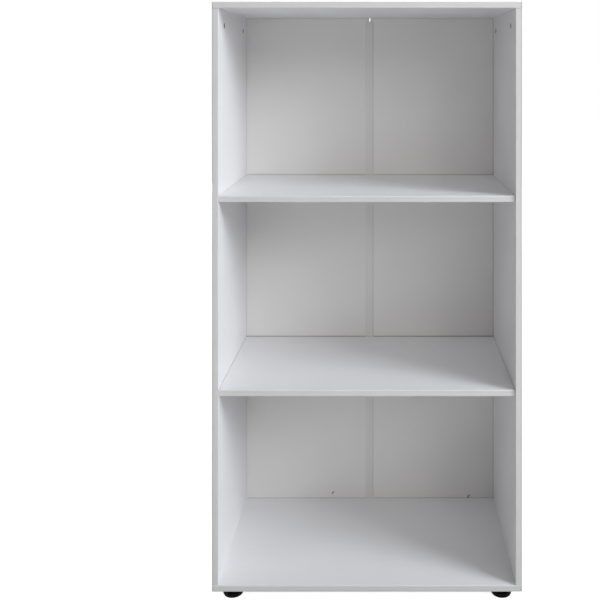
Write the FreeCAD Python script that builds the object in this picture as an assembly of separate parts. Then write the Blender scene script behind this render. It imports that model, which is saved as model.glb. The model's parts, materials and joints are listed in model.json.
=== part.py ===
import FreeCAD, Part
import math
import os

# Open shelf unit: a carcass of coated chipboard with two loose shelves, a split hardboard back
# and four screw feet. Millimetres. X runs to the right, Y from the front to the back, Z up.
# The origin is on the floor, under the middle of the case.

# Case and boards
CASE_WIDTH = 800.0
CASE_DEPTH = 450.0
BOARD = 16.0
COMPARTMENT_HEIGHT = 486.0

# Edge bands glued to the visible edges of the boards
BAND = 1.0
BAND_RADIUS = 0.8

# Hardboard back in two halves, held in a groove and joined by an H-shaped plastic profile
BACK_THICKNESS = 3.0
BACK_SETBACK = 7.0
BACK_SPLIT = 4.0
GROOVE_DEPTH = 8.0
GROOVE_SIDE_PLAY = 0.5
GROOVE_END_PLAY = 0.8
JOINER_WIDTH = 25.0
JOINER_FLANGE = 1.0
JOINER_LIP = 0.5
JOINER_WEB = 1.5
JOINER_PLAY = 0.1
JOINER_TOP_GAP = 10.0

# Cam fittings that pull the top panel down on the sides
CAM_DIAMETER = 15.0
CAM_HEIGHT = 12.5
CAM_PLAY = 0.1
CAM_DROP = 42.0
CAM_SLOT_LENGTH = 9.0
CAM_SLOT_WIDTH = 1.6
CAM_SLOT_DEPTH = 3.0
CAM_CHAMBER_DIAMETER = 11.0
CAM_CHAMBER_HEIGHT = 7.2
BOLT_DIAMETER = 5.0
BOLT_IN_PANEL = 11.0
BOLT_NECK_DIAMETER = 4.0
BOLT_NECK_LENGTH = 3.0
BOLT_HEAD_DIAMETER = 6.5
BOLT_HEAD_HEIGHT = 3.0
BOLT_HOLE_DIAMETER = 8.0

# Where the fittings stand along the depth, and the dowels beside them
FITTING_FRONT_INSET = 85.0
FITTING_REAR_INSET = 66.0
DOWEL_OFFSET = 32.0
DOWEL_DIAMETER = 8.0
DOWEL_IN_PANEL = 11.0
DOWEL_IN_SIDE = 22.0
DOWEL_PLAY = 0.05
DOWEL_END_PLAY = 0.5

# Confirmat screws through the bottom panel into the sides
SCREW_LENGTH = 50.0
SCREW_HEAD_DIAMETER = 10.0
SCREW_HEAD_HEIGHT = 3.5
SCREW_DIAMETER = 7.0
SCREW_HEX = 4.0
SCREW_HEX_DEPTH = 2.6
SCREW_PLAY = 0.05

# Loose shelves on pegged supports
SHELF_END_GAP = 0.8
SHELF_FRONT_RECESS = 6.0
SHELF_REAR_GAP = 3.0
SUPPORT_INSET = 60.0
SUPPORT_GAP = 0.3
PEG_DIAMETER = 5.0
PEG_LENGTH = 8.5
PEG_PLAY = 0.05
TONGUE_LENGTH = 14.0
TONGUE_WIDTH = 10.0
TONGUE_THICKNESS = 1.6
TONGUE_RIB = 2.0
TONGUE_RIB_DROP = 4.0

# Screw feet: a moulded foot on a steel stud in a threaded insert
FOOT_HEIGHT = 28.0
FOOT_DIAMETER = 53.0
FOOT_SIDE_INSET = 48.0
FOOT_END_INSET = 44.0
FOOT_RIM_HEIGHT = 10.0
FOOT_BEVEL_HEIGHT = 3.0
FOOT_BEVEL_DEPTH = 1.5
FOOT_NECK_DIAMETER = 34.0
FOOT_FLUTE_DIAMETER = 6.0
FOOT_FLUTE_DEPTH = 1.6
FOOT_FLUTE_COUNT = 6
FOOT_STOP_GAP = 0.2
STUD_DIAMETER = 8.0
STUD_THREAD_PLAY = 0.3
STUD_ABOVE = 13.0
STUD_BELOW = 18.0
INSERT_DIAMETER = 11.0
INSERT_HEIGHT = 13.5
INSERT_PLAY = 0.05

# Blind bores run on this far past what sits in them
BORE_RELIEF = 0.5

# Places that follow from the sizes above
SIDE_X = CASE_WIDTH / 2
INNER_X = SIDE_X - BOARD
FRONT_Y = -CASE_DEPTH / 2
REAR_Y = CASE_DEPTH / 2
BASE_Z = FOOT_HEIGHT
FLOOR_Z = BASE_Z + BOARD
LOWER_SHELF_Z = FLOOR_Z + COMPARTMENT_HEIGHT
UPPER_SHELF_Z = LOWER_SHELF_Z + BOARD + COMPARTMENT_HEIGHT
CEILING_Z = UPPER_SHELF_Z + BOARD + COMPARTMENT_HEIGHT
BACK_REAR_Y = REAR_Y - BACK_SETBACK
BACK_FRONT_Y = BACK_REAR_Y - BACK_THICKNESS
SHELF_FRONT_Y = FRONT_Y + SHELF_FRONT_RECESS
SHELF_REAR_Y = BACK_FRONT_Y - SHELF_REAR_GAP
SHELF_X = INNER_X - SHELF_END_GAP
BOARD_CENTRE_X = SIDE_X - BOARD / 2
CAM_Z = CEILING_Z - CAM_DROP
FITTING_YS = (FRONT_Y + FITTING_FRONT_INSET, REAR_Y - FITTING_REAR_INSET)
DOWEL_YS = (FITTING_YS[0] + DOWEL_OFFSET, FITTING_YS[1] - DOWEL_OFFSET)
SUPPORT_YS = (SHELF_FRONT_Y + SUPPORT_INSET, SHELF_REAR_Y - SUPPORT_INSET)
FOOT_X = SIDE_X - FOOT_SIDE_INSET
FOOT_YS = {"front": FRONT_Y + FOOT_END_INSET, "rear": REAR_Y - FOOT_END_INSET}
SIDES = {"left": -1, "right": 1}

UP = FreeCAD.Vector(0, 0, 1)
ALONG_X = FreeCAD.Vector(1, 0, 0)


def block(low, high):
    """A box between two opposite corners."""
    size = [top - bottom for bottom, top in zip(low, high)]
    return Part.makeBox(*size, FreeCAD.Vector(*low))


def rod(diameter, length, base, axis=UP):
    """A round rod that starts at base and runs along axis."""
    return Part.makeCylinder(diameter / 2, length, FreeCAD.Vector(*base), axis)


def turned(profile, base):
    """A solid turned about a vertical axis through base, from (radius, height) pairs."""
    points = [FreeCAD.Vector(radius, 0, height) for radius, height in profile]
    face = Part.Face(Part.makePolygon(points + points[:1]))
    solid = face.revolve(FreeCAD.Vector(0, 0, 0), UP, 360)
    solid.translate(FreeCAD.Vector(*base))
    return solid


def mirrored(shape):
    """The same shape on the other side of the case's middle plane."""
    return shape.mirror(FreeCAD.Vector(0, 0, 0), ALONG_X)


def on_side(shape, side):
    """A shape drawn on the right, moved to the named side."""
    return shape if SIDES[side] > 0 else mirrored(shape)


def both_sides(shapes):
    """Shapes drawn on the right, with their copies on the left."""
    return shapes + [mirrored(shape) for shape in shapes]


def band_radius():
    """The arris radius of an edge band, which its own thickness limits."""
    return min(BAND_RADIUS, 0.9 * BAND)


def outer_edges(shape, axis, place, direction):
    """The edges of shape that lie on the plane at place across axis and run along direction."""
    found = []
    for edge in shape.Edges:
        start, end = (vertex.Point for vertex in edge.Vertexes)
        on_plane = abs(start[axis] - place) < 1e-6 and abs(end[axis] - place) < 1e-6
        if on_plane and abs(start[direction] - end[direction]) > 1e-6:
            found.append(edge)
    return found


def front_band(x_low, x_high, front, z_low, z_high, direction):
    """A band on a front edge, with its two long outer arrises rounded."""
    band = block((x_low, front, z_low), (x_high, front + BAND, z_high))
    return band.makeFillet(band_radius(), outer_edges(band, 1, front, direction))


def end_band(z_low, z_high):
    """The band on the right end of the top or bottom panel, butted behind the front band."""
    band = block((SIDE_X - BAND, FRONT_Y + BAND, z_low), (SIDE_X, REAR_Y, z_high))
    return band.makeFillet(band_radius(), outer_edges(band, 0, SIDE_X, 1))


def panel_bands(z_low, z_high):
    """The three bands of the top or bottom panel: the front one and one on each end."""
    front = front_band(-SIDE_X, SIDE_X, FRONT_Y, z_low, z_high, 0)
    return [front] + both_sides([end_band(z_low, z_high)])


def groove(z_low, z_high):
    """The groove for the back, as a block across the case between two heights."""
    reach = INNER_X + GROOVE_DEPTH
    low = (-reach, BACK_FRONT_Y - GROOVE_SIDE_PLAY, z_low)
    return block(low, (reach, BACK_REAR_Y + GROOVE_SIDE_PLAY, z_high))


def dowel(y):
    """A right dowel between the side and the top panel."""
    low = CEILING_Z - DOWEL_IN_SIDE
    return rod(DOWEL_DIAMETER, DOWEL_IN_SIDE + DOWEL_IN_PANEL, (BOARD_CENTRE_X, y, low))


def dowel_bores():
    """The bores of the right dowels, through the joint between panel and side."""
    diameter = DOWEL_DIAMETER + 2 * DOWEL_PLAY
    length = DOWEL_IN_PANEL + DOWEL_IN_SIDE + 2 * DOWEL_END_PLAY
    low = CEILING_Z - DOWEL_IN_SIDE - DOWEL_END_PLAY
    return [rod(diameter, length, (BOARD_CENTRE_X, y, low)) for y in DOWEL_YS]


def cam_bores():
    """The cam pockets in the right side and the holes that lead the bolts into them."""
    bores = []
    for y in FITTING_YS:
        pocket = (INNER_X, y, CAM_Z)
        bores.append(rod(CAM_DIAMETER + 2 * CAM_PLAY, CAM_HEIGHT, pocket, ALONG_X))
        bores.append(rod(BOLT_HOLE_DIAMETER, CAM_DROP, (BOARD_CENTRE_X, y, CAM_Z)))
    return bores


def bolt_bores():
    """The threaded bores of the right bolts in the top panel."""
    depth = BOLT_IN_PANEL + BORE_RELIEF
    return [rod(BOLT_DIAMETER, depth, (BOARD_CENTRE_X, y, CEILING_Z)) for y in FITTING_YS]


def cam(y):
    """A right cam: a die-cast drum with a driver cross and an eccentric chamber for the bolt head."""
    drum = rod(CAM_DIAMETER, CAM_HEIGHT, (INNER_X, y, CAM_Z), ALONG_X)
    cross = []
    for width, height in ((CAM_SLOT_WIDTH, CAM_SLOT_LENGTH), (CAM_SLOT_LENGTH, CAM_SLOT_WIDTH)):
        low = (INNER_X, y - width / 2, CAM_Z - height / 2)
        high = (INNER_X + CAM_SLOT_DEPTH, y + width / 2, CAM_Z + height / 2)
        cross.append(block(low, high))
    chamber_x = BOARD_CENTRE_X - CAM_CHAMBER_HEIGHT / 2
    chamber = rod(CAM_CHAMBER_DIAMETER, CAM_CHAMBER_HEIGHT, (chamber_x, y, CAM_Z), ALONG_X)
    half_mouth = CAM_CHAMBER_HEIGHT / 2
    mouth = block(
        (chamber_x, y - half_mouth, CAM_Z),
        (chamber_x + CAM_CHAMBER_HEIGHT, y + half_mouth, CAM_Z + CAM_DIAMETER),
    )
    return drum.cut(cross + [chamber, mouth])


def bolt(y):
    """A right cam bolt, turned: a head in the cam, a neck and a shank up into the top panel."""
    head_low = -BOLT_HEAD_HEIGHT / 2
    head_top = BOLT_HEAD_HEIGHT / 2
    neck_top = head_top + BOLT_NECK_LENGTH
    end = CAM_DROP + BOLT_IN_PANEL
    profile = [
        (0, head_low),
        (BOLT_HEAD_DIAMETER / 2, head_low),
        (BOLT_HEAD_DIAMETER / 2, head_top),
        (BOLT_NECK_DIAMETER / 2, head_top),
        (BOLT_NECK_DIAMETER / 2, neck_top),
        (BOLT_DIAMETER / 2, neck_top),
        (BOLT_DIAMETER / 2, end),
        (0, end),
    ]
    return turned(profile, (BOARD_CENTRE_X, y, CAM_Z))


def screw_body(y, play):
    """A right confirmat screw without its socket, or with play the bore that it fills."""
    head = SCREW_HEAD_DIAMETER / 2 + play
    shank = SCREW_DIAMETER / 2 + play
    end = SCREW_LENGTH + play
    profile = [(0, 0), (head, 0), (shank, SCREW_HEAD_HEIGHT), (shank, end), (0, end)]
    return turned(profile, (BOARD_CENTRE_X, y, BASE_Z))


def screw(y):
    """A right confirmat screw with its hexagon socket."""
    corner = SCREW_HEX / math.sqrt(3)
    angles = [math.radians(60 * turn) for turn in range(6)]
    ring = [
        FreeCAD.Vector(BOARD_CENTRE_X + corner * math.cos(a), y + corner * math.sin(a), BASE_Z)
        for a in angles
    ]
    socket = Part.Face(Part.makePolygon(ring + ring[:1])).extrude(UP * SCREW_HEX_DEPTH)
    return screw_body(y, 0).cut(socket)


def support(y, shelf_z):
    """A right shelf support: a peg and a flat tongue with a rib under it."""
    top = shelf_z - SUPPORT_GAP
    peg_z = top - PEG_DIAMETER / 2
    peg = rod(PEG_DIAMETER, PEG_LENGTH, (INNER_X, y, peg_z), ALONG_X)
    half = TONGUE_WIDTH / 2
    straight = TONGUE_LENGTH - half
    tongue = block((INNER_X - straight, y - half, top - TONGUE_THICKNESS), (INNER_X, y + half, top))
    tip = rod(TONGUE_WIDTH, TONGUE_THICKNESS, (INNER_X - straight, y, top - TONGUE_THICKNESS))
    rib_points = [
        FreeCAD.Vector(INNER_X, y - TONGUE_RIB / 2, top - TONGUE_THICKNESS / 2),
        FreeCAD.Vector(INNER_X, y - TONGUE_RIB / 2, top - TONGUE_THICKNESS - TONGUE_RIB_DROP),
        FreeCAD.Vector(INNER_X - TONGUE_LENGTH + half, y - TONGUE_RIB / 2, top - TONGUE_THICKNESS / 2),
    ]
    rib = Part.Face(Part.makePolygon(rib_points + rib_points[:1])).extrude(FreeCAD.Vector(0, TONGUE_RIB, 0))
    return peg.fuse([tongue, tip, rib]).removeSplitter()


def peg_bores():
    """The bores of the right supports in the side."""
    diameter = PEG_DIAMETER + 2 * PEG_PLAY
    depth = PEG_LENGTH + BORE_RELIEF
    bores = []
    for shelf_z in (LOWER_SHELF_Z, UPPER_SHELF_Z):
        peg_z = shelf_z - SUPPORT_GAP - PEG_DIAMETER / 2
        bores += [rod(diameter, depth, (INNER_X, y, peg_z), ALONG_X) for y in SUPPORT_YS]
    return bores


def insert():
    """The threaded insert about the origin: a sleeve with its bore."""
    bore = rod(STUD_DIAMETER + 2 * STUD_THREAD_PLAY, INSERT_HEIGHT, (0, 0, 0))
    return rod(INSERT_DIAMETER, INSERT_HEIGHT, (0, 0, 0)).cut(bore)


def foot_body():
    """The moulded foot about its axis: a broad rim bevelled towards the floor and a fluted grip."""
    rim = FOOT_DIAMETER / 2
    neck = FOOT_NECK_DIAMETER / 2
    top = FOOT_HEIGHT - FOOT_STOP_GAP
    profile = [
        (0, 0),
        (rim - FOOT_BEVEL_DEPTH, 0),
        (rim, FOOT_BEVEL_HEIGHT),
        (rim, FOOT_RIM_HEIGHT),
        (neck, FOOT_RIM_HEIGHT),
        (neck, top),
        (0, top),
    ]
    body = turned(profile, (0, 0, 0))
    reach = neck + FOOT_FLUTE_DIAMETER / 2 - FOOT_FLUTE_DEPTH
    flutes = []
    for turn in range(FOOT_FLUTE_COUNT):
        angle = 2 * math.pi * turn / FOOT_FLUTE_COUNT
        place = (reach * math.cos(angle), reach * math.sin(angle), FOOT_RIM_HEIGHT)
        flutes.append(rod(FOOT_FLUTE_DIAMETER, top - FOOT_RIM_HEIGHT, place))
    stud_bore = rod(STUD_DIAMETER, STUD_BELOW, (0, 0, top - STUD_BELOW))
    return body.cut(flutes + [stud_bore]).removeSplitter()


def stud():
    """The steel stud moulded into a foot, about the foot's axis."""
    low = FOOT_HEIGHT - FOOT_STOP_GAP - STUD_BELOW
    return rod(STUD_DIAMETER, FOOT_HEIGHT + STUD_ABOVE - low, (0, 0, low))


def placed(shape, x, y, z=0.0):
    """A copy of shape moved to a place."""
    copy = shape.copy()
    copy.translate(FreeCAD.Vector(x, y, z))
    return copy


def insert_places():
    """The places of the four inserts in the underside of the bottom panel."""
    return [(sign * FOOT_X, y, BASE_Z) for sign in SIDES.values() for y in FOOT_YS.values()]


def top_panel():
    """The top board, over the ends of the sides."""
    core = block((-SIDE_X + BAND, FRONT_Y + BAND, CEILING_Z), (SIDE_X - BAND, REAR_Y, CEILING_Z + BOARD))
    bores = both_sides(bolt_bores() + dowel_bores())
    return core.cut(bores + [groove(CEILING_Z, CEILING_Z + GROOVE_DEPTH)])


def bottom_panel():
    """The bottom board, under the ends of the sides."""
    core = block((-SIDE_X + BAND, FRONT_Y + BAND, BASE_Z), (SIDE_X - BAND, REAR_Y, FLOOR_Z))
    bores = both_sides([screw_body(y, SCREW_PLAY) for y in FITTING_YS])
    diameter = INSERT_DIAMETER + 2 * INSERT_PLAY
    bores += [rod(diameter, INSERT_HEIGHT + INSERT_PLAY, place) for place in insert_places()]
    return core.cut(bores + [groove(FLOOR_Z - GROOVE_DEPTH, FLOOR_Z)])


def side_panel(side):
    """A side board between the top and bottom boards."""
    core = block((INNER_X, FRONT_Y + BAND, FLOOR_Z), (SIDE_X, REAR_Y, CEILING_Z))
    bores = cam_bores() + peg_bores() + dowel_bores() + [screw_body(y, SCREW_PLAY) for y in FITTING_YS]
    return on_side(core.cut(bores + [groove(FLOOR_Z, CEILING_Z)]), side)


def side_band(side):
    """The band on the front edge of a side board."""
    return on_side(front_band(INNER_X, SIDE_X, FRONT_Y, FLOOR_Z, CEILING_Z, 2), side)


def shelf(z):
    """A loose shelf behind its own front band."""
    return block((-SHELF_X, SHELF_FRONT_Y + BAND, z), (SHELF_X, SHELF_REAR_Y, z + BOARD))


def shelf_band(z):
    """The band on the front edge of a shelf."""
    return front_band(-SHELF_X, SHELF_X, SHELF_FRONT_Y, z, z + BOARD, 0)


def back_panel(side):
    """One half of the hardboard back, standing in the lower groove."""
    outer = INNER_X + GROOVE_DEPTH - GROOVE_END_PLAY
    low = (BACK_SPLIT / 2, BACK_FRONT_Y, FLOOR_Z - GROOVE_DEPTH)
    high = (outer, BACK_REAR_Y, CEILING_Z + GROOVE_DEPTH - GROOVE_END_PLAY)
    return on_side(block(low, high), side)


def joiner():
    """The H-shaped profile between the halves: thin lips on two flanges and a web."""
    half = JOINER_WIDTH / 2
    lip = half - JOINER_FLANGE
    front = BACK_FRONT_Y - JOINER_PLAY
    rear = BACK_REAR_Y + JOINER_PLAY
    web = JOINER_WEB / 2
    half_outline = [
        (web, front),
        (half, front),
        (half, front - JOINER_LIP),
        (lip, front - JOINER_FLANGE),
    ]
    rear_outline = [
        (lip, rear + JOINER_FLANGE),
        (half, rear + JOINER_LIP),
        (half, rear),
        (web, rear),
    ]
    right = half_outline[::-1] + rear_outline[::-1]
    left = [(-x, y) for x, y in right[::-1]]
    points = [FreeCAD.Vector(x, y, FLOOR_Z) for x, y in right + left]
    height = CEILING_Z - FLOOR_Z - JOINER_TOP_GAP
    return Part.Face(Part.makePolygon(points + points[:1])).extrude(UP * height)


def group(shapes):
    """Separate solids kept together under one name."""
    return Part.makeCompound(shapes)


def build():
    """Every sub-part by its name."""
    nodes = {
        "top_panel": top_panel(),
        "bottom_panel": bottom_panel(),
        "top_panel_edge_bands": group(panel_bands(CEILING_Z, CEILING_Z + BOARD)),
        "bottom_panel_edge_bands": group(panel_bands(BASE_Z, FLOOR_Z)),
        "back_joiner_profile": joiner(),
        "cam_drums": group(both_sides([cam(y) for y in FITTING_YS])),
        "cam_bolts": group(both_sides([bolt(y) for y in FITTING_YS])),
        "wood_dowels": group(both_sides([dowel(y) for y in DOWEL_YS])),
        "confirmat_screws": group(both_sides([screw(y) for y in FITTING_YS])),
        "foot_inserts": group([placed(insert(), *place) for place in insert_places()]),
    }
    for side, sign in SIDES.items():
        nodes[f"{side}_side_panel"] = side_panel(side)
        nodes[f"{side}_side_edge_band"] = side_band(side)
        nodes[f"back_panel_{side}"] = back_panel(side)
        for end, y in FOOT_YS.items():
            nodes[f"{end}_{side}_foot"] = placed(foot_body(), sign * FOOT_X, y)
            nodes[f"{end}_{side}_foot_stud"] = placed(stud(), sign * FOOT_X, y)
    for name, z in (("lower", LOWER_SHELF_Z), ("upper", UPPER_SHELF_Z)):
        nodes[f"{name}_shelf"] = shelf(z)
        nodes[f"{name}_shelf_edge_band"] = shelf_band(z)
        nodes[f"{name}_shelf_supports"] = group(both_sides([support(y, z) for y in SUPPORT_YS]))
    return nodes


os.makedirs("parts", exist_ok=True)
for node, shape in build().items():
    shape.exportStep(f"parts/{node}.step")
    print(node, len(shape.Solids), round(shape.Volume), shape.isValid())
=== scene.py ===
"""The looks of an open bookcase: its finishes, the threads of its feet, floor, light and camera."""
import json
import math

import bpy
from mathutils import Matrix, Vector

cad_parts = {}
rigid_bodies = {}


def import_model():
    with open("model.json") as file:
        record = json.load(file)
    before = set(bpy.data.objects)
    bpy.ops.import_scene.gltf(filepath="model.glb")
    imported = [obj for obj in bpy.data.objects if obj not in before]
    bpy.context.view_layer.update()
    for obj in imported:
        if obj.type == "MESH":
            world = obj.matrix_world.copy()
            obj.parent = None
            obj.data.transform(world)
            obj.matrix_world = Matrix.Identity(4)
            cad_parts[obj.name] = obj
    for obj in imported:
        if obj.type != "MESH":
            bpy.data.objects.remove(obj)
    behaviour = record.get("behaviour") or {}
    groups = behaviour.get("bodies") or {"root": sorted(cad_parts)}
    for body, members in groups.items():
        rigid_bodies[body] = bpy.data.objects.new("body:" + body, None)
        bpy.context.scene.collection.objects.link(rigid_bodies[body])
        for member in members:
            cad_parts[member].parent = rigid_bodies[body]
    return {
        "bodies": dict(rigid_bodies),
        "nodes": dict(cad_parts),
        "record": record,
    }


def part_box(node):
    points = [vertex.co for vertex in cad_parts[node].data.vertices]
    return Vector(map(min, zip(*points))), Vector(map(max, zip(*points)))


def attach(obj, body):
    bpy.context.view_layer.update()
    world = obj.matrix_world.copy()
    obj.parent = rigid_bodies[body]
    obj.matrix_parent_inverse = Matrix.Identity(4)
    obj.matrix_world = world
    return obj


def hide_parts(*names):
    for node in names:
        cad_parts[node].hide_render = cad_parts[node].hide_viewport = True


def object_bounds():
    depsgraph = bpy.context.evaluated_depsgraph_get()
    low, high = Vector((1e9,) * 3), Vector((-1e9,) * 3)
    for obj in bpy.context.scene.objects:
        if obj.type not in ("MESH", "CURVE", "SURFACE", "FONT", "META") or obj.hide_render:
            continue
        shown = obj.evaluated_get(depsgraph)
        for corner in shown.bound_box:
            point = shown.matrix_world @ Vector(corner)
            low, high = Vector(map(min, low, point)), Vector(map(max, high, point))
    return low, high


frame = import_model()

CAD_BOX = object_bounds()
NODES = frame["nodes"]
MM = 0.001
X, Y, Z = 0, 1, 2

# Camera: a level 50 mm lens on a 36 mm sensor, with its place in metres and its distance from the front face
LENS = 50.0
SENSOR = 36.0
EYE_HEIGHT = 1.3736
EYE_RIGHT = 0.044
EYE_DISTANCE = 2.149
# Its horizon and vanishing point stand here in a picture so many pixels wide, which sets the shift
IMAGE = 600
HORIZON_Y = 70.0
VANISHING_X = 384.0

# Lamps: name, azimuth to the right of the front and elevation in degrees, distance, width and height in
# metres, watts, colour
LAMPS = (
    ("window_right", 60.0, 24.0, 12.0, 4.0, 4.0, 660.0, "#F1F8FF"),
    ("window_above", 60.0, 55.0, 6.0, 2.0, 2.0, 58.0, "#F1F8FF"),
    ("near_right", 60.0, 24.0, 3.0, 1.4, 1.4, 24.0, "#FFFFFF"),
    ("room_right", 30.0, 24.0, 12.0, 4.0, 4.0, 138.0, "#FFFFFF"),
    ("room_front", 15.0, 24.0, 12.0, 4.0, 4.0, 106.0, "#FFFFFF"),
    ("room_above", 0.0, 45.0, 6.0, 2.0, 2.0, 15.0, "#FFFFFF"),
    ("room_left", -50.0, 30.0, 6.0, 2.0, 2.0, 24.0, "#FFFFFF"),
    ("room_low", -25.0, 15.0, 12.0, 4.0, 4.0, 36.0, "#FFFFFF"),
    ("outer_left", -100.0, 8.0, 8.0, 4.0, 3.0, 240.0, "#FFFFFF"),
    ("rear", -170.0, 8.0, 8.0, 4.0, 3.0, 280.0, "#FFFFFF"),
)
LAMP_TARGET = (0.0, 0.0, 0.9)

# Floor, in metres: within the inner radius it glows a little less, so that the shadow shows, and past the
# outer one it glows white
FLOOR_REACH = 30.0
SHADE_RADIUS = 0.6
CLEAR_RADIUS = 2.4
SHADE_GLOW = 0.76

# Boards, in millimetres: the lower and upper face of the bottom panel, the underside of the top panel, the
# pitch of the shelves, and the outer and inner faces of the sides
BASE_Z = 28.0
FLOOR_Z = 44.0
CEILING_Z = 1534.0
PITCH = 502.0
SIDE_X = 400.0
INNER_X = 384.0

# A drawn line fades out at its reach, in millimetres from its middle. These lines are painted shade, drawn
# where the sides, boards and shelves meet the back, each with its darkness
SIDE_SHADE_LINES = ((-INNER_X, 0.12), (INNER_X, 0.4))
BOARD_SHADE_LINES = ((CEILING_Z, 0.25), (FLOOR_Z + 2 * PITCH, 0.3), (FLOOR_Z + PITCH, 0.5), (FLOOR_Z, 0.3))
SIDE_SHADE_REACH = 2.2
BOARD_LINE_REACH = 2.6

# The split in the back, where bare fibre shows, and the free edge of the profile beside it, along which a
# dark line of painted shade is drawn
SPLIT_REACH = 4.2
LIP_X = 9.0
LIP_SHADE_REACH = 1.8

# Wear: marks on the back and nicks in the bottom band, each with its place across, height, turn in degrees,
# width and length; then how high the bands are drawn greyer, and how far painted highlight and shade reach on
# arrises
BACK_MARKS = ((-114.5, 61.0, 35.0, 4.2, 11.0), (306.0, 49.0, 35.0, 5.0, 15.0))
BAND_NICKS = ((137.0, 29.0, 0.0, 2.4, 3.2), (147.5, 29.0, 0.0, 2.4, 3.2))
GREYING_HEIGHT = 700.0
ARRIS_HIGHLIGHT_REACH = 2.4
ARRIS_SHADE_REACH = 3.6

# Patterns: the noise between these values is stretched to run from 0 to 1
NOISE_LOW = 0.3
NOISE_HIGH = 0.7
# A surface faces along an axis where its normal has more than this share of it
FACING = 0.7
# The gap round a flake of wood opens between these distances from its middle, counted in its size
GAP_NEAR = 0.45
GAP_FAR = 0.85
# A rub mark is whole within the first and gone past the second of these, counted in its half size
MARK_WHOLE = 0.7
MARK_GONE = 1.3

# Feet: M8 studs, which carry a coarse thread of 1.25 mm pitch
STUD_RADIUS = 4.0
STUD_CORE_RADIUS = 3.3
STUD_PITCH = 1.25
STUD_FACES_ROUND = 24
STUD_ROWS_PER_PITCH = 8
# The flank of the thread rises between these shares of a pitch, counted from the middle of its root
FLANK_LOW = 0.08
FLANK_HIGH = 0.44


def linear(code):
    """An sRGB hex code as linear red, green, blue and alpha."""
    parts = [int(code[place:place + 2], 16) / 255 for place in (1, 3, 5)]
    return tuple(((c + 0.055) / 1.055) ** 2.4 if c > 0.04045 else c / 12.92 for c in parts) + (1.0,)


def add(tree, kind, inputs=None, **settings):
    """Adds a node with its settings. An input is given a value, or an output to link to."""
    node = tree.nodes.new(kind)
    for name, value in settings.items():
        setattr(node, name, value)
    for key, value in (inputs or {}).items():
        if isinstance(value, bpy.types.NodeSocket):
            tree.links.new(value, node.inputs[key])
        else:
            node.inputs[key].default_value = value
    return node


def material(name):
    """An empty node material and its tree."""
    made = bpy.data.materials.new(name)
    made.use_nodes = True
    made.node_tree.nodes.clear()
    return made, made.node_tree


def finish_material(tree, inputs):
    """Ends a tree in a Principled shader."""
    shader = add(tree, "ShaderNodeBsdfPrincipled", inputs)
    add(tree, "ShaderNodeOutputMaterial", {"Surface": shader.outputs["BSDF"]})


def millimetres(tree):
    """The piece's own coordinates in millimetres, and its own normal."""
    own = add(tree, "ShaderNodeTexCoord")
    place = add(tree, "ShaderNodeVectorMath", {0: own.outputs["Object"], "Scale": 1 / MM}, operation="SCALE")
    return place.outputs[0], own.outputs["Normal"]


def blots(tree, place, size, detail=3.0):
    """Smooth noise from 0 to 1, with blots of the given millimetres along X, Y and Z."""
    scaled = add(tree, "ShaderNodeVectorMath", {0: place, 1: size}, operation="DIVIDE")
    cloud = add(tree, "ShaderNodeTexNoise", {"Vector": scaled.outputs[0], "Scale": 1.0, "Detail": detail})
    stretched = add(tree, "ShaderNodeMapRange", {
        "Value": cloud.outputs[0], "From Min": NOISE_LOW, "From Max": NOISE_HIGH,
    })
    return stretched.outputs[0]


def between(tree, share, low, high):
    """A colour between two colours, given as hex codes or outputs."""
    ends = [linear(end) if isinstance(end, str) else end for end in (low, high)]
    mix = add(tree, "ShaderNodeMix", {0: share, 6: ends[0], 7: ends[1]}, data_type="RGBA")
    return mix.outputs[2]


def amount(tree, share, low, high):
    """A number that runs from low to high as share runs from 0 to 1."""
    return add(tree, "ShaderNodeMapRange", {"Value": share, "To Min": low, "To Max": high}).outputs[0]


def choice(tree, share, low, high):
    """A number between two numbers or outputs: low where share is 0, and high where it is 1."""
    return add(tree, "ShaderNodeMix", {0: share, 2: low, 3: high}).outputs[0]


def relief(tree, height, depth):
    """A normal for a surface that rises by depth millimetres where height is 1."""
    return add(tree, "ShaderNodeBump", {"Height": height, "Distance": depth * MM}).outputs[0]


def facing(tree, normal, axis):
    """1 where the surface faces along the axis, either way, and 0 elsewhere."""
    parts = add(tree, "ShaderNodeSeparateXYZ", {0: normal})
    size = add(tree, "ShaderNodeMath", {0: parts.outputs[axis]}, operation="ABSOLUTE")
    return add(tree, "ShaderNodeMath", {0: size.outputs[0], 1: FACING}, operation="GREATER_THAN").outputs[0]


def pressed_chips(tree, place, flake):
    """Pressed wood chips as a cut shows them: a tone for each flake and dark gaps where they meet."""
    scaled = add(tree, "ShaderNodeVectorMath", {0: place, 1: flake}, operation="DIVIDE")
    flakes = add(tree, "ShaderNodeTexVoronoi", {"Vector": scaled.outputs[0], "Scale": 1.0})
    tone = add(tree, "ShaderNodeSeparateColor", {0: flakes.outputs["Color"]})
    wood = between(tree, tone.outputs[0], "#B48E62", "#DDBF92")
    gap = add(tree, "ShaderNodeMapRange", {
        "Value": flakes.outputs["Distance"], "From Min": GAP_NEAR, "From Max": GAP_FAR,
    })
    return between(tree, gap.outputs[0], wood, "#8A6844"), gap.outputs[0]


def drawn_line(tree, place, axis, at, reach, share):
    """A share along a straight line across the axis at so many millimetres, fading to 0 at its reach."""
    parts = add(tree, "ShaderNodeSeparateXYZ", {0: place})
    off = add(tree, "ShaderNodeMath", {0: parts.outputs[axis], 1: at}, operation="SUBTRACT")
    away = add(tree, "ShaderNodeMath", {0: off.outputs[0]}, operation="ABSOLUTE")
    line = add(tree, "ShaderNodeMapRange", {
        "Value": away.outputs[0], "From Min": reach, "From Max": reach / 2, "To Max": share,
    })
    return line.outputs[0]


def strongest(tree, shares):
    """The largest of several shares."""
    most = shares[0]
    for share in shares[1:]:
        most = add(tree, "ShaderNodeMath", {0: most, 1: share}, operation="MAXIMUM").outputs[0]
    return most


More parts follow.
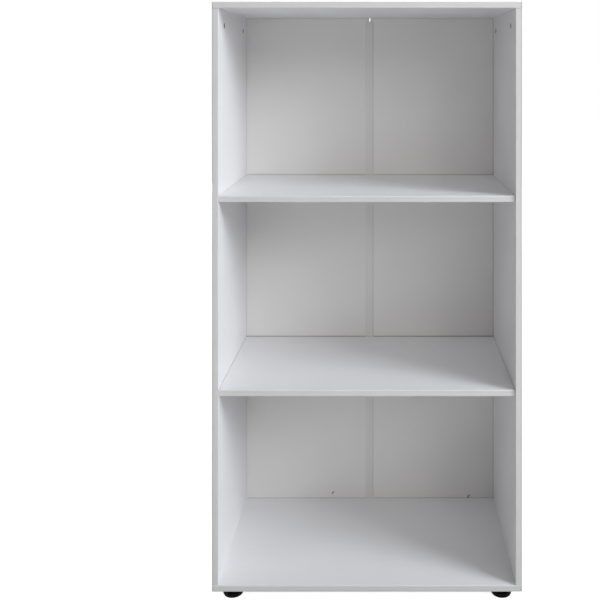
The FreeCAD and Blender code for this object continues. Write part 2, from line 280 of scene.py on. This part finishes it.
def rub_mark(tree, place, x, z, turn, width, length):
    """1 on a short mark at x and z millimetres, turned by so many degrees, and 0 elsewhere."""
    any_depth = 1000.0
    centred = add(tree, "ShaderNodeMapping", {
        "Vector": place,
        "Location": (x, 0.0, z),
        "Rotation": (0.0, math.radians(turn), 0.0),
        "Scale": (width / 2, any_depth, length / 2),
    }, vector_type="TEXTURE")
    away = add(tree, "ShaderNodeVectorMath", {0: centred.outputs[0]}, operation="LENGTH")
    shape = add(tree, "ShaderNodeMapRange", {
        "Value": away.outputs["Value"], "From Min": MARK_GONE, "From Max": MARK_WHOLE,
    })
    return shape.outputs[0]


def melamine_chipboard(name, thickness_axis, streak, flake):
    """White melamine-faced chipboard, pressed: satin film with faint streaks, raw chips on its cut edges."""
    made, tree = material(name)
    place, normal = millimetres(tree)
    film = facing(tree, normal, thickness_axis)
    streaks = blots(tree, place, streak)
    # The real grain of the film is about 0.5 mm and is drawn several times as coarse, so that it shows
    pearl = blots(tree, place, (5.0, 5.0, 5.0), 2.0)
    chips, gaps = pressed_chips(tree, place, flake)
    white = between(tree, streaks, "#E8E7E8", "#EAE9EA")
    finish_material(tree, {
        "Base Color": between(tree, film, chips, white),
        "Roughness": choice(tree, film, 0.9, amount(tree, pearl, 0.36, 0.46)),
        "Normal": relief(tree, choice(tree, film, gaps, pearl), 0.04),
    })
    return made


def abs_edge_band(name, line, level):
    """ABS edge banding, extruded and cut flush: a little duller than the film, with faint drawn lines.

    A level band has a painted highlight along its upper arris, standing for the light that its rounded edge
    catches.
    The outermost arrises of the front, and the bottom arris of the bottom band, carry painted shade.
    """
    made, tree = material(name)
    place, normal = millimetres(tree)
    height = add(tree, "ShaderNodeSeparateXYZ", {0: place}).outputs[Z]
    lines = blots(tree, place, line, 1.0)
    handling = blots(tree, place, (60.0, 60.0, 60.0))
    clean = between(tree, lines, "#D4D1CF", "#D9D6D4")
    # The bands are drawn greyer towards the floor
    low = add(tree, "ShaderNodeMapRange", {"Value": height, "From Min": GREYING_HEIGHT, "From Max": 0.0})
    grey = add(tree, "ShaderNodeMath", {0: low.outputs[0], 1: 3.0}, operation="POWER")
    greyed_low = between(tree, amount(tree, grey.outputs[0], 0.0, 0.6), clean, "#BABAB8")
    used = between(tree, amount(tree, handling, 0.0, 0.2), greyed_low, "#C7C6C3")
    if level:
        # Painted highlight on each level band's upper arris, standing for the light that its rounded edge
        # catches
        above = add(tree, "ShaderNodeMath", {0: height, 1: FLOOR_Z}, operation="SUBTRACT")
        below = add(tree, "ShaderNodeMath", {0: above.outputs[0], 1: PITCH / 2}, operation="PINGPONG")
        arris = add(tree, "ShaderNodeMapRange", {
            "Value": below.outputs[0], "From Min": ARRIS_HIGHLIGHT_REACH, "From Max": ARRIS_HIGHLIGHT_REACH / 2,
        })
        nicks = strongest(tree, [rub_mark(tree, place, *nick) for nick in BAND_NICKS])
        arris_highlighted = between(tree, amount(tree, arris.outputs[0], 0.0, 0.55), used, "#F6F5F3")
        marked = between(tree, amount(tree, nicks, 0.0, 0.5), arris_highlighted, "#8E8E8C")
        # Painted shade along the bottom arris of the bottom band
        lowest_arris_shade = [drawn_line(tree, place, Z, BASE_Z, ARRIS_SHADE_REACH, 0.4)]
    else:
        # The joint between the side and the top panel shows as a thin dark line
        joint = drawn_line(tree, place, Z, CEILING_Z, BOARD_LINE_REACH, 0.4)
        marked = between(tree, joint, used, "#7C7C7C")
        lowest_arris_shade = []
    # A thin grey line of painted shade runs on the outermost arrises of the front and on the bottom arris of
    # the bottom band, where the rounded edges turn away from the light
    outer_arris_shade = strongest(tree, [drawn_line(tree, place, X, x, ARRIS_SHADE_REACH, 0.45) for x in (-SIDE_X, SIDE_X)])
    front = add(tree, "ShaderNodeMath", {0: outer_arris_shade, 1: facing(tree, normal, Y)}, operation="MULTIPLY")
    colour = between(tree, strongest(tree, [front.outputs[0], *lowest_arris_shade]), marked, "#8E8E8C")
    finish_material(tree, {
        "Base Color": colour,
        "Roughness": amount(tree, handling, 0.42, 0.55),
        "Normal": relief(tree, lines, 0.03),
    })
    return made


def lacquered_hardboard():
    """Hardboard, wet-pressed: smooth white lacquer in front, bare brown fibre with a wire print behind."""
    made, tree = material("lacquered_hardboard")
    place, normal = millimetres(tree)
    parts = add(tree, "ShaderNodeSeparateXYZ", {0: normal})
    front = add(tree, "ShaderNodeMath", {0: parts.outputs[Y], 1: -FACING}, operation="LESS_THAN").outputs[0]
    wave = blots(tree, place, (160.0, 160.0, 120.0), 1.0)
    fibre = blots(tree, place, (9.0, 9.0, 3.0))
    marks = strongest(tree, [rub_mark(tree, place, *mark) for mark in BACK_MARKS])
    # Where the boards meet the back, a thin dark line of painted shade stands for the shade in the corner
    painted_corner_shade = strongest(tree, [
        *[drawn_line(tree, place, X, x, SIDE_SHADE_REACH, dark) for x, dark in SIDE_SHADE_LINES],
        *[drawn_line(tree, place, Z, z, BOARD_LINE_REACH, dark) for z, dark in BOARD_SHADE_LINES],
    ])
    lacquer = between(tree, wave, "#E6E4E2", "#E8E6E4")
    corner_shaded = between(tree, painted_corner_shade, lacquer, "#6E6E6E")
    worn = between(tree, amount(tree, marks, 0.0, 0.85), corner_shaded, "#4A4642")
    split = between(tree, drawn_line(tree, place, X, 0.0, SPLIT_REACH, 0.6), worn, "#77583A")
    # The wire print is about 1.5 mm in the real board and is drawn at 6 mm, so that it shows. At scale 1 a
    # wave repeats every pi / 10
    wire = 6.0
    across, upright = [
        add(tree, "ShaderNodeTexWave", {
            "Vector": place, "Scale": math.pi / 10 / wire,
        }, bands_direction=direction).outputs[1]
        for direction in ("X", "Z")
    ]
    weave = add(tree, "ShaderNodeMath", {0: across, 1: upright}, operation="MULTIPLY").outputs[0]
    bare = between(tree, fibre, "#77583A", "#94714D")
    bump = add(tree, "ShaderNodeBump", {
        "Height": choice(tree, front, weave, wave),
        "Distance": choice(tree, front, 0.25 * MM, 0.5 * MM),
    })
    finish_material(tree, {
        "Base Color": between(tree, front, between(tree, weave, bare, "#6A4E33"), split),
        "Roughness": choice(tree, front, 0.85, amount(tree, fibre, 0.42, 0.5)),
        "Normal": bump.outputs[0],
    })
    return made


def extruded_pvc():
    """Hard PVC, extruded: even white, a shade darker than the back, with fine lines along its length, and a
    dark line of painted shade along the free edge of the profile.
    """
    made, tree = material("extruded_pvc")
    place, _ = millimetres(tree)
    lines = blots(tree, place, (1.5, 1.5, 400.0), 1.0)
    # A dark line of painted shade along the free edge of the profile, standing for the shade of the gap
    # beside it
    lip_shade = drawn_line(tree, place, X, LIP_X, LIP_SHADE_REACH, 0.2)
    white = between(tree, lines, "#DCDBD9", "#E0DFDD")
    finish_material(tree, {
        "Base Color": between(tree, lip_shade, white, "#A0A0A0"),
        "Roughness": amount(tree, lines, 0.3, 0.38),
        "Normal": relief(tree, lines, 0.02),
    })
    return made


def die_cast_zinc():
    """Zinc alloy, die-cast and tumbled: dull dark grey metal with a cloudy, slightly pitted skin."""
    made, tree = material("die_cast_zinc")
    place, _ = millimetres(tree)
    cloud = blots(tree, place, (3.0, 3.0, 3.0))
    pits = blots(tree, place, (0.6, 0.6, 0.6), 1.0)
    finish_material(tree, {
        "Base Color": between(tree, cloud, "#5C5D5F", "#77787A"),
        "Metallic": 1.0,
        "Roughness": amount(tree, cloud, 0.5, 0.65),
        "Normal": relief(tree, pits, 0.03),
    })
    return made


def zinc_plated_steel():
    """Steel, zinc-plated and passivated: bright grey with a soft bluish to straw-coloured cast."""
    made, tree = material("zinc_plated_steel")
    place, _ = millimetres(tree)
    cast = blots(tree, place, (5.0, 5.0, 5.0))
    grit = blots(tree, place, (0.4, 0.4, 0.4), 1.0)
    finish_material(tree, {
        "Base Color": between(tree, cast, "#BFC5CC", "#D2CDBE"),
        "Metallic": 1.0,
        "Roughness": amount(tree, grit, 0.24, 0.4),
        "Normal": relief(tree, grit, 0.004),
    })
    return made


def nickel_plated_steel():
    """Steel, stamped and nickel-plated: warm bright metal, smooth, with faint tumbling marks."""
    made, tree = material("nickel_plated_steel")
    place, _ = millimetres(tree)
    marks = blots(tree, place, (2.0, 0.4, 0.4))
    finish_material(tree, {
        "Base Color": between(tree, marks, "#C9C3B6", "#D6D1C6"),
        "Metallic": 1.0,
        "Roughness": amount(tree, marks, 0.16, 0.3),
        "Normal": relief(tree, marks, 0.005),
    })
    return made


def turned_beech():
    """Beech, turned: pale pinkish brown along the dowel, with short darker flecks."""
    made, tree = material("turned_beech")
    place, _ = millimetres(tree)
    grain = blots(tree, place, (1.2, 1.2, 18.0))
    flecks = blots(tree, place, (0.5, 0.5, 2.5), 1.0)
    wood = between(tree, grain, "#C99F73", "#E0BE94")
    finish_material(tree, {
        "Base Color": between(tree, amount(tree, flecks, 0.0, 0.3), wood, "#9A7048"),
        "Roughness": amount(tree, grain, 0.55, 0.7),
        "Normal": relief(tree, grain, 0.05),
    })
    return made


def black_polypropylene():
    """Polypropylene, moulded in black: a fine spark-eroded skin breaks its gloss."""
    made, tree = material("black_polypropylene")
    place, _ = millimetres(tree)
    # The real skin is about 0.2 mm coarse and is drawn at 0.8 mm, so that it shows
    skin = blots(tree, place, (0.8, 0.8, 0.8), 2.0)
    dust = blots(tree, place, (14.0, 14.0, 6.0))
    finish_material(tree, {
        "Base Color": between(tree, dust, "#020202", "#060606"),
        "Roughness": amount(tree, skin, 0.45, 0.6),
        "Specular IOR Level": 0.05,
        "Normal": relief(tree, skin, 0.03),
    })
    return made


def dress_nodes():
    """Gives every CAD node its finish, and returns the one that the foot threads share."""
    # Streaks and drawn lines run along a board's length, and its flakes lie flat in its thickness
    level_board = melamine_chipboard(
        "melamine_chipboard_level", thickness_axis=Z, streak=(140.0, 5.0, 5.0), flake=(7.0, 7.0, 2.2))
    upright_board = melamine_chipboard(
        "melamine_chipboard_upright", thickness_axis=X, streak=(5.0, 5.0, 140.0), flake=(2.2, 7.0, 7.0))
    level_band = abs_edge_band("abs_edge_band_level", line=(300.0, 300.0, 2.0), level=True)
    upright_band = abs_edge_band("abs_edge_band_upright", line=(2.0, 2.0, 300.0), level=False)
    steel = zinc_plated_steel()
    finishes = {
        "coated_hardboard": lacquered_hardboard(),
        "pvc_profile": extruded_pvc(),
        "die_cast_zinc": die_cast_zinc(),
        "zinc_plated_steel": steel,
        "nickel_plated_steel": nickel_plated_steel(),
        "beech": turned_beech(),
        "black_polypropylene": black_polypropylene(),
    }
    for entry in frame["record"]["subparts"]:
        upright = "_side_" in entry["node"]
        finishes["coated_chipboard"] = upright_board if upright else level_board
        finishes["abs_edge_band"] = upright_band if upright else level_band
        for slot in NODES[entry["node"]].material_slots:
            slot.material = finishes[entry["material_slot"]]
    return steel


def thread_tree():
    """A tree that makes a threaded rod: a closed cylinder whose side rises and falls along a helix."""
    tree = bpy.data.node_groups.new("threaded_rod", "GeometryNodeTree")
    shape = tree.interface
    shape.new_socket("Geometry", in_out="OUTPUT", socket_type="NodeSocketGeometry")
    for name in ("Crest Radius", "Core Radius", "Pitch", "Length"):
        shape.new_socket(name, in_out="INPUT", socket_type="NodeSocketFloat")
    for name in ("Faces Round", "Rows"):
        shape.new_socket(name, in_out="INPUT", socket_type="NodeSocketInt")
    shape.new_socket("Middle", in_out="INPUT", socket_type="NodeSocketVector")
    shape.new_socket("Finish", in_out="INPUT", socket_type="NodeSocketMaterial")
    sizes = add(tree, "NodeGroupInput").outputs
    rod = add(tree, "GeometryNodeMeshCylinder", {
        "Vertices": sizes["Faces Round"],
        "Side Segments": sizes["Rows"],
        "Radius": 1.0,
        "Depth": sizes["Length"],
    })
    parts = add(tree, "ShaderNodeSeparateXYZ", {0: add(tree, "GeometryNodeInputPosition").outputs[0]})
    angle = add(tree, "ShaderNodeMath", {0: parts.outputs[Y], 1: parts.outputs[X]}, operation="ARCTAN2")
    turn = add(tree, "ShaderNodeMath", {0: angle.outputs[0], 1: 2 * math.pi}, operation="DIVIDE")
    rise = add(tree, "ShaderNodeMath", {0: parts.outputs[Z], 1: sizes["Pitch"]}, operation="DIVIDE")
    phase = add(tree, "ShaderNodeMath", {0: rise.outputs[0], 1: turn.outputs[0]}, operation="SUBTRACT")
    climb = add(tree, "ShaderNodeMath", {0: phase.outputs[0], 1: 0.5}, operation="PINGPONG")
    ridge = add(tree, "ShaderNodeMapRange", {
        "Value": climb.outputs[0], "From Min": FLANK_LOW, "From Max": FLANK_HIGH,
    })
    radius = add(tree, "ShaderNodeMapRange", {
        "Value": ridge.outputs[0],
        "To Min": sizes["Core Radius"],
        "To Max": sizes["Crest Radius"],
    })
    flat = add(tree, "ShaderNodeCombineXYZ", {X: parts.outputs[X], Y: parts.outputs[Y]})
    length = add(tree, "ShaderNodeVectorMath", {0: flat.outputs[0]}, operation="LENGTH")
    grown = add(tree, "ShaderNodeMath", {
        0: radius.outputs[0], 1: length.outputs["Value"],
    }, operation="MULTIPLY")
    spread = add(tree, "ShaderNodeVectorMath", {
        0: flat.outputs[0], "Scale": grown.outputs[0],
    }, operation="SCALE")
    height = add(tree, "ShaderNodeCombineXYZ", {Z: parts.outputs[Z]})
    raised = add(tree, "ShaderNodeVectorMath", {0: spread.outputs[0], 1: height.outputs[0]}, operation="ADD")
    placed = add(tree, "ShaderNodeVectorMath", {0: raised.outputs[0], 1: sizes["Middle"]}, operation="ADD")
    moved = add(tree, "GeometryNodeSetPosition", {
        "Geometry": rod.outputs["Mesh"], "Position": placed.outputs[0],
    })
    real = add(tree, "GeometryNodeRealizeInstances", {0: moved.outputs[0]})
    done = add(tree, "GeometryNodeSetMaterial", {
        "Geometry": real.outputs[0], "Material": sizes["Finish"],
    })
    add(tree, "NodeGroupOutput", {"Geometry": done.outputs[0]})
    return tree


def grown_mesh(name, tree, values):
    """A plain mesh object from a tree, with its inputs set by their identifiers."""
    carrier = bpy.data.objects.new(f"{name}_carrier", bpy.data.meshes.new(f"{name}_carrier"))
    bpy.context.scene.collection.objects.link(carrier)
    modifier = carrier.modifiers.new("grow", "NODES")
    modifier.node_group = tree
    for item in tree.interface.items_tree:
        if item.item_type == "SOCKET" and item.in_out == "INPUT":
            modifier[item.identifier] = values[item.name]
    view = bpy.context.evaluated_depsgraph_get()
    mesh = bpy.data.meshes.new_from_object(carrier.evaluated_get(view))
    mesh.name = name
    bpy.data.objects.remove(carrier)
    piece = bpy.data.objects.new(name, mesh)
    bpy.context.scene.collection.objects.link(piece)
    return piece


def foot_threads(finish):
    """A threaded stud in each foot, in the place of the plain one."""
    tree = thread_tree()
    for body in frame["bodies"]:
        if not body.endswith("_foot"):
            continue
        low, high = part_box(f"{body}_stud")
        length = high[Z] - low[Z]
        piece = grown_mesh(f"{body}_threaded_stud", tree, {
            "Crest Radius": STUD_RADIUS * MM,
            "Core Radius": STUD_CORE_RADIUS * MM,
            "Pitch": STUD_PITCH * MM,
            "Length": length,
            "Faces Round": STUD_FACES_ROUND,
            "Rows": round(length / MM / STUD_PITCH * STUD_ROWS_PER_PITCH),
            "Middle": [(low[axis] + high[axis]) / 2 for axis in (X, Y, Z)],
            "Finish": finish,
        })
        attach(piece, body)
        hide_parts(f"{body}_stud")


def shown(tree):
    """1 for what the camera, metal and glass see, and 0 for light that falls on other things."""
    path = add(tree, "ShaderNodeLightPath")
    return strongest(tree, [path.outputs[f"Is {kind} Ray"] for kind in ("Camera", "Glossy", "Transmission")])


def stage_floor():
    """A wide pale floor, white to the camera, that keeps the shadow near the bookcase."""
    reach = FLOOR_REACH
    mesh = bpy.data.meshes.new("floor")
    corners = [(-reach, -reach, 0), (reach, -reach, 0), (reach, reach, 0), (-reach, reach, 0)]
    mesh.from_pydata(corners, [], [(0, 1, 2, 3)])
    floor = bpy.data.objects.new("floor", mesh)
    bpy.context.scene.collection.objects.link(floor)
    made, tree = material("pale_floor")
    own = add(tree, "ShaderNodeTexCoord")
    far = add(tree, "ShaderNodeVectorMath", {0: own.outputs["Object"]}, operation="LENGTH")
    lift = add(tree, "ShaderNodeMapRange", {
        "Value": far.outputs["Value"],
        "From Min": SHADE_RADIUS,
        "From Max": CLEAR_RADIUS,
        "To Min": SHADE_GLOW,
        "To Max": 1.0,
    })
    strength = add(tree, "ShaderNodeMath", {0: shown(tree), 1: lift.outputs[0]}, operation="MULTIPLY")
    diffuse = add(tree, "ShaderNodeBsdfDiffuse", {"Color": linear("#ECECEC")})
    glow = add(tree, "ShaderNodeEmission", {"Color": linear("#FFFFFF"), "Strength": strength.outputs[0]})
    total = add(tree, "ShaderNodeAddShader", {0: diffuse.outputs[0], 1: glow.outputs[0]})
    add(tree, "ShaderNodeOutputMaterial", {"Surface": total.outputs[0]})
    mesh.materials.append(made)


def world():
    """White to the camera and in metal, and no light of its own: the lamps alone light the bookcase."""
    made = bpy.data.worlds.new("studio")
    bpy.context.scene.world = made
    made.use_nodes = True
    tree = made.node_tree
    tree.nodes.clear()
    white = add(tree, "ShaderNodeBackground", {"Color": linear("#FFFFFF"), "Strength": shown(tree)})
    add(tree, "ShaderNodeOutputWorld", {"Surface": white.outputs[0]})


def lamps():
    """Large soft area lamps that face the middle of the bookcase."""
    for name, azimuth, elevation, distance, width, height, watts, colour in LAMPS:
        data = bpy.data.lights.new(name, "AREA")
        data.shape = "RECTANGLE"
        data.size = width
        data.size_y = height
        data.energy = watts
        data.color = linear(colour)[:3]
        lamp = bpy.data.objects.new(name, data)
        bpy.context.scene.collection.objects.link(lamp)
        turn, lift = math.radians(azimuth), math.radians(elevation)
        level = math.cos(lift)
        away = Vector((math.sin(turn) * level, -math.cos(turn) * level, math.sin(lift)))
        lamp.location = Vector(LAMP_TARGET) + away * distance
        lamp.rotation_mode = "QUATERNION"
        lamp.rotation_quaternion = away.to_track_quat("Z", "Y")


def camera():
    """A level camera in front of the bookcase, a little right of its middle."""
    data = bpy.data.cameras.new("camera")
    data.lens = LENS
    data.sensor_width = SENSOR
    data.shift_x = (IMAGE / 2 - VANISHING_X) / IMAGE
    data.shift_y = (HORIZON_Y - IMAGE / 2) / IMAGE
    eye = bpy.data.objects.new("camera", data)
    bpy.context.scene.collection.objects.link(eye)
    eye.location = (EYE_RIGHT, CAD_BOX[0].y - EYE_DISTANCE, EYE_HEIGHT)
    eye.rotation_euler = (math.radians(90), 0, 0)
    bpy.context.scene.camera = eye


camera()
foot_threads(dress_nodes())
stage_floor()
world()
lamps()
bpy.context.scene.view_settings.view_transform = "Standard"
